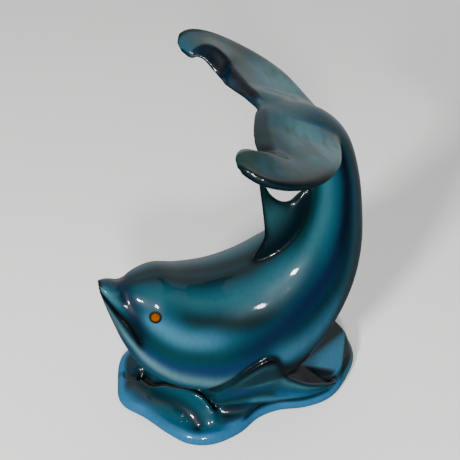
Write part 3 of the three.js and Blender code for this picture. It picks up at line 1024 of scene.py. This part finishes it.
def fluke_paint(finish):
    place = finish.place()
    chord = finish.attribute("chord")
    span = finish.attribute("span")
    side = finish.add("ShaderNodeSeparateXYZ", {"Vector": place}).outputs["Y"]
    far = finish.between(side, *FAR_SIDE)
    olive = finish.mottle(finish.stretched(place, OLIVE_STRETCH), *OLIVE_PATCHES)
    blue = finish.mottle(finish.stretched(place, BLUE_STRETCH), *BLUE_PATCHES)
    # Painted shade on the flukes' faces, towards the rear edge.
    fluke_shade = finish.times(finish.band(span, *FLUKE_SHADE_SPAN), finish.between(chord, *FLUKE_SHADE_CHORD))
    far_tip = finish.times(far, finish.between(span, *FAR_TIP))
    # Painted shade in mottled navy on the far fluke's rear bevel.
    far_bevel_shade = finish.math("SUBTRACT", finish.line(span, FAR_BEVEL_SHADE_LINE), chord)
    navy_shade = finish.over("#063650", finish.mottle(place, *NAVY_SHADE_PATCHES), "#041a22")
    return finish.layered("#2f7280", [
        # Lighter band near the fluke roots: painted highlight.
        (finish.band(span, *FLUKE_HIGHLIGHT_SPAN), finish.between(chord, *FLUKE_HIGHLIGHT_CHORD), "#70b4bc"),
        (finish.between(span, *FLUKE_MIDDLE), 1, "#1a5350"),
        (finish.between(span, *FLUKE_OUTER), 1, "#154b47"),
        (fluke_shade, 0.7, "#123c3a"),
        (olive, 0.6, "#47604a"),
        (blue, 0.4, "#3a80b0"),
        # Darker grey-brown on the bevel along the rear edge, partly painted shade.
        (finish.between(chord, *FLUKE_BEVEL_SHADE_EDGE), 0.85, "#2c3a3f"),
        (far_tip, 0.6, "#3d7fa0"),
        (finish.between(far_bevel_shade, *FAR_BEVEL_SHADE_EDGE), far, navy_shade),
        # Painted shade along the flukes' front rims.
        (finish.band(chord, *FLUKE_RIM_SHADE), finish.between(span, *FLUKE_RIM_START), "#051a21"),
        # Painted shade on the flukes' undersides.
        (finish.attribute("under"), 1, "#082430"),
    ])


# Flipper paint: bands as (colour, width, place from top edge to foot, strength from root to tip)
FLIPPER_GROUND = "#175a6c"
FLIPPER_BANDS = [
    ("#03161a", .15, 0.0, [(0, .3), (.15, .7), (.3, 1), (.5, 1), (.62, .6), (1, .5)]),
    ("#4a95a8", .14, .36, [(0, 0), (.15, 0), (.28, .8), (.5, .6), (.65, 1), (.8, .8), (.9, 0), (1, 0)]),
    ("#0b4f8a", .08, .55, [(0, 0), (.12, .3), (.25, .9), (.4, .6), (.5, 0), (1, 0)]),
    ("#07474a", .08, .68, [(0, .3), (.2, .9), (.45, .7), (.55, 0), (1, 0)]),
    ("#2277b5", .12, .68, [(0, 0), (.45, 0), (.55, .9), (.7, .9), (.8, .3), (1, 0)]),
    ("#4a9cc0", .09, .84, [(0, 0), (.25, .2), (.35, .9), (.6, .8), (.75, .3), (1, 0)]),
    # Near-black along the foot edge: painted shade.
    ("#05151b", .09, 1.0, [(0, 1), (1, 1)]),
]
FLIPPER_WAVER = (30.0, 0.12)
FLIPPER_ROOT_SHADE = (0.13, 0.04)
FLIPPER_TIP = (0.86, 0.95)


def flipper_paint(finish):
    span = finish.attribute("span")
    chord = finish.wavering(finish.attribute("chord"), *FLIPPER_WAVER)
    bands = [
        (finish.band(chord, middle, width), finish.line(span, strength), shade)
        for shade, width, middle, strength in FLIPPER_BANDS
    ]
    return finish.layered(FLIPPER_GROUND, [
        *bands,
        # Painted shade at the flippers' roots, where they meet the body.
        (finish.between(span, *FLIPPER_ROOT_SHADE), 1, "#0a2a30"),
        (finish.between(span, *FLIPPER_TIP), 1, "#0c1f38"),
    ])


# Wave paint: edges in millimetres from the forms they follow, and along X and Y in metres
INSET_WAVER = (28.0, 9.0)
SHARE_WAVER = (28.0, 0.15)
RIM_EDGE = (4.0, 15.0)
ROLLED_SHARE = (1.34, 1.06)
ROLLED_END = (-0.01, -0.028)
CORNER_X = (-0.045, -0.06)
CORNER_Y = (0.008, 0.02)
CORNER_RIM = (4.0, 9.0)
BROWN_PATCHES = (90.0, (0.5, 0.66))
GROOVE_SHADE_SHARE = (0.3, 1.0)
BLOCK_SIDE_X = (0.035, 0.045)
FACET_EDGE = (3.0, -1.0)
FACET_SHADE_EDGE = (-1.5, 4.0)
HOLLOW_EDGE = (-1.0, 3.0)
HOLLOW_RIM = (5.0, 8.0)
WALL_X = (0.035, 0.075)
WALL_Y = (0.042, 0.02)
WALL_EDGE = (-0.5, 1.5)
WALL_RIM = (0.5, 3.5)
SEAM_SHADE_SHARE = (0.25, 0.8)
FLIPPER_SHADE_EDGE = (2.5, -1.0)
FLIPPER_SHADE_RIM = (1.5, 3.5)
FLIPPER_SHADE_START_X = (-0.026, -0.012)
FLIPPER_SHADE_END_X = (0.072, 0.06)
FOOT_SHADE_EDGE = (4.0, 1.5)
FOOT_SHADE_RIM = (1.0, 3.0)


def wave_paint(finish):
    place = finish.place()
    axes = finish.add("ShaderNodeSeparateXYZ", {"Vector": place}).outputs
    inset = finish.attribute("inset")
    before = finish.attribute("before_block")
    inward = finish.wavering(inset, *INSET_WAVER)
    share = finish.wavering(finish.attribute("mound_share"), *SHARE_WAVER)
    # Darker teal at the back of the base's left end, beside the body: partly painted shade.
    corner = finish.times(finish.between(axes["Y"], *CORNER_Y), finish.between(axes["X"], *CORNER_X))
    # Dark teal with brown patches in the carved grooves, partly painted shade.
    brown = finish.over("#10363e", finish.mottle(place, *BROWN_PATCHES), "#2e2a2c")
    right = finish.between(axes["X"], *BLOCK_SIDE_X)
    facet = finish.times(right, finish.between(before, *FACET_EDGE))
    shaded = finish.between(finish.attribute("shaded_facet"), *FACET_SHADE_EDGE)
    hollow = finish.times(right, finish.between(before, *HOLLOW_EDGE))
    # Painted shade in dark olive on the block's end slope.
    wall = finish.times(
        finish.between(axes["X"], *WALL_X), finish.between(finish.attribute("beyond_block"), *WALL_EDGE),
        finish.between(axes["Y"], *WALL_Y),
    )
    # Painted shade on the wave below the flippers' feet.
    flipper_shade = finish.times(
        finish.between(finish.attribute("beyond_foot"), *FLIPPER_SHADE_EDGE), finish.between(inset, *FLIPPER_SHADE_RIM),
        finish.math("SUBTRACT", 1.0, facet), finish.between(axes["X"], *FLIPPER_SHADE_START_X),
        finish.between(axes["X"], *FLIPPER_SHADE_END_X),
    )
    # Painted shade on the wave close to the flippers' feet.
    foot = finish.between(finish.attribute("near_fin"), *FOOT_SHADE_EDGE)
    return finish.layered("#3f95cd", [
        (finish.between(inward, *RIM_EDGE), 1, "#17607a"),
        (finish.between(share, *ROLLED_SHARE), finish.between(axes["X"], *ROLLED_END), "#1a6478"),
        (corner, finish.between(inward, *CORNER_RIM), "#123f4a"),
        (finish.between(finish.attribute("trough"), *GROOVE_SHADE_SHARE), 0.85, brown),
        (facet, 1, finish.over("#4496be", shaded, "#1c3f38")),
        (hollow, finish.between(inset, *HOLLOW_RIM), "#3d4040"),
        (wall, finish.between(inset, *WALL_RIM), "#1d3634"),
        # Near-black in the carved seam under the body: painted shade.
        (finish.between(finish.attribute("seam"), *SEAM_SHADE_SHARE), 1, "#081518"),
        (flipper_shade, 0.85, "#06222c"),
        (foot, finish.between(inset, *FOOT_SHADE_RIM), "#0a1316"),
    ])


# Lacquer over the paints of the parts, with painted shade in the crevices, the wood's grain and soft marks
# of the tools under it
PART_PAINTS = {
    "dorsal": dorsal_paint, "fluke": fluke_paint, "flipper": flipper_paint, "wave": wave_paint,
}
CREVICE_SHADE_EDGE = (0.05, 0.3)
GRAIN_STRETCH = (60, 60, 6)
GRAIN_SCALE = 8.0
GRAIN_EDGE = (0.35, 0.75)
GRAIN_STRENGTH = 0.12
MARK_SCALE = 70.0
MARK_STRENGTH = 0.15
LACQUER = {
    "Roughness": 0.4, "Specular IOR Level": 0.1, "Coat Weight": 0.7, "Coat Roughness": 0.06,
    "Coat IOR": 1.36,
}


def lacquered_wood():
    finish = Finish("lacquered_teal_wood")
    paint = body_paint(finish)
    for part, paints in PART_PAINTS.items():
        paint = finish.over(paint, finish.attribute(part), paints(finish))
    grain = finish.noise(finish.stretched(finish.place(), GRAIN_STRETCH), GRAIN_SCALE, detail=4.0)
    paint = finish.layered(paint, [
        # Painted shade in the crevices, darker where the skin lies below its surroundings.
        (finish.between(finish.attribute("hollow"), *CREVICE_SHADE_EDGE), 1, "#03100f"),
        (finish.between(grain, *GRAIN_EDGE), GRAIN_STRENGTH, "#0a2a30"),
    ])
    marks = finish.noise(finish.place(), MARK_SCALE, detail=3.0)
    bump = finish.add("ShaderNodeBump", {"Height": marks, "Strength": MARK_STRENGTH, "Distance": MM})
    normal = bump.outputs[0]
    finish.put_all({"Base Color": paint, "Normal": normal, "Coat Normal": normal, **LACQUER})
    return finish.material


# Eyes

EYE_STEPS = 48
EYE_DOME_STEPS = 6
AMBER = (0.2, 0.048, 0.0, 1)
DARK_AMBER = (0.15, 0.034, 0.0, 1)
AMBER_RIM = (0.05, 0.022, 0.002, 1)
AMBER_SCALE = 900.0
AMBER_EDGE = (0.4, 0.7)
AMBER_RIM_EDGE = (0.72, 0.95)


def make_eye(name, middle, facing):
    """A domed disc set into its socket: a half outline, spun about the way that the eye faces."""
    facing = Vector(facing)
    across = facing.orthogonal().normalized()
    middle = Vector(middle)
    outline = [(EYE_RADIUS * math.sin(turn), EYE_CROWN * math.cos(turn)) for turn in
               np.linspace(0, math.pi / 2, EYE_DOME_STEPS)]
    outline += [(EYE_RADIUS, -EYE_DEPTH), (0, -EYE_DEPTH)]
    bm = bmesh.new()
    corners = [bm.verts.new((middle + across * out + facing * up) * MM) for out, up in outline]
    edges = [bm.edges.new(pair) for pair in zip(corners, corners[1:])]
    bmesh.ops.spin(bm, geom=corners + edges, cent=middle * MM, axis=facing, angle=2 * math.pi,
                   steps=EYE_STEPS, use_merge=True)
    bmesh.ops.remove_doubles(bm, verts=bm.verts, dist=1e-6)
    bmesh.ops.recalc_face_normals(bm, faces=bm.faces)
    made = object_from(bm, name)
    made.data.shade_smooth()
    gaps = np.linalg.norm(places_of(made.data) - np.array(middle), axis=1)
    store(made.data, "gap", gaps / EYE_RADIUS)
    return made


def amber_eye():
    finish = Finish("amber_eye")
    patches = finish.noise(finish.place(), AMBER_SCALE, detail=3.0)
    amber = finish.layered(AMBER, [
        (finish.between(patches, *AMBER_EDGE), 1, DARK_AMBER),
        (finish.between(finish.attribute("gap"), *AMBER_RIM_EDGE), 1, AMBER_RIM),
    ])
    finish.put_all({"Base Color": amber, "Roughness": 0.6, "Specular IOR Level": 0.0})
    return finish.material


carving, fins = make_carving()
store_paint_coordinates(carving, fins)
carving.data.materials.append(lacquered_wood())
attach(carving, "root")
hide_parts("carving")

amber = amber_eye()
for side, node in ((LEFT, "eye_left"), (RIGHT, "eye_right")):
    eye = make_eye("amber_" + node, *EYES[side])
    eye.data.materials.append(amber)
    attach(eye, "root")
    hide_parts(node)


# Stage, lights and camera

FLOOR_REACH = 4
FLOOR_COLOUR = (0.95, 0.94, 0.92, 1)
FLOOR_ROUGHNESS = 0.8

# Lights: azimuth and elevation in degrees, distance and size in metres, and watts
LIGHTS = {
    "window_left": (-46, 33, 1.4, 0.2, 26),
    "window_front": (-16, 33, 1.4, 0.18, 14),
}
LIGHT_TARGET = (0, 0, 0.12)

# Sky: its colour, the way to its bright side, and its strengths away from and towards that side
SKY_COLOUR = (0.95, 0.97, 0.98, 1)
SKY_BRIGHT_WAY = (0.4, 0.7, 0.6)
SKY_RANGE = (-0.1, 1.0)
SKY_STRENGTHS = (0.06, 0.85)


def make_floor():
    bm = bmesh.new()
    bmesh.ops.create_grid(bm, x_segments=1, y_segments=1, size=FLOOR_REACH)
    floor = object_from(bm, "floor")
    pale = bpy.data.materials.new("pale_floor")
    pale.use_nodes = True
    shader = pale.node_tree.nodes["Principled BSDF"]
    shader.inputs["Base Color"].default_value = FLOOR_COLOUR
    shader.inputs["Roughness"].default_value = FLOOR_ROUGHNESS
    floor.data.materials.append(pale)
    floor.visible_glossy = False


def direction(azimuth, elevation):
    """The way from the object towards a camera or light at these angles, in degrees."""
    a, e = math.radians(azimuth), math.radians(elevation)
    return Vector((math.sin(a) * math.cos(e), -math.cos(a) * math.cos(e), math.sin(e)))


def make_light(name, azimuth, elevation, distance, size, watts):
    lamp = bpy.data.lights.new(name, "AREA")
    lamp.shape = "DISK"
    lamp.size = size
    lamp.energy = watts
    light = bpy.data.objects.new(name, lamp)
    way = direction(azimuth, elevation)
    light.location = Vector(LIGHT_TARGET) + way * distance
    light.rotation_euler = way.to_track_quat("Z", "Y").to_euler()
    bpy.context.scene.collection.objects.link(light)


def make_camera():
    back = direction(CAMERA_AZIMUTH, CAMERA_ELEVATION)
    right = Vector((math.cos(math.radians(CAMERA_AZIMUTH)), math.sin(math.radians(CAMERA_AZIMUTH)), 0))
    up = back.cross(right)
    middle = IMAGE_PIXELS / 2
    across = (ORIGIN_PIXEL[0] - middle) / FOCAL_PIXELS
    below = (ORIGIN_PIXEL[1] - middle) / FOCAL_PIXELS
    sight = (right * across - up * below - back).normalized()
    lens = bpy.data.cameras.new("camera")
    lens.sensor_width = SENSOR_MM
    lens.lens = FOCAL_PIXELS / IMAGE_PIXELS * SENSOR_MM
    lens.clip_start = NEAR_CLIP
    camera = bpy.data.objects.new("camera", lens)
    camera.matrix_world = Matrix.Translation(-sight * ORIGIN_DISTANCE) @ Matrix(
        (right, up, back)).transposed().to_4x4()
    bpy.context.scene.collection.objects.link(camera)
    bpy.context.scene.camera = camera


def make_sky():
    """A plain studio surround, brighter overhead and behind the object than in front of it."""
    world = bpy.data.worlds.new("studio")
    world.use_nodes = True
    tree = world.node_tree
    sky = tree.nodes["Background"]
    way = tree.nodes.new("ShaderNodeTexCoord")
    lean = tree.nodes.new("ShaderNodeVectorMath")
    lean.operation = "DOT_PRODUCT"
    lean.inputs[1].default_value = SKY_BRIGHT_WAY
    tree.links.new(way.outputs["Generated"], lean.inputs[0])
    bright = tree.nodes.new("ShaderNodeMapRange")
    bright.interpolation_type = "SMOOTHSTEP"
    bright.inputs["From Min"].default_value, bright.inputs["From Max"].default_value = SKY_RANGE
    bright.inputs["To Min"].default_value, bright.inputs["To Max"].default_value = SKY_STRENGTHS
    tree.links.new(lean.outputs["Value"], bright.inputs["Value"])
    sky.inputs["Color"].default_value = SKY_COLOUR
    tree.links.new(bright.outputs[0], sky.inputs["Strength"])
    bpy.context.scene.world = world


make_floor()
for light, values in LIGHTS.items():
    make_light(light, *values)
make_sky()
make_camera()
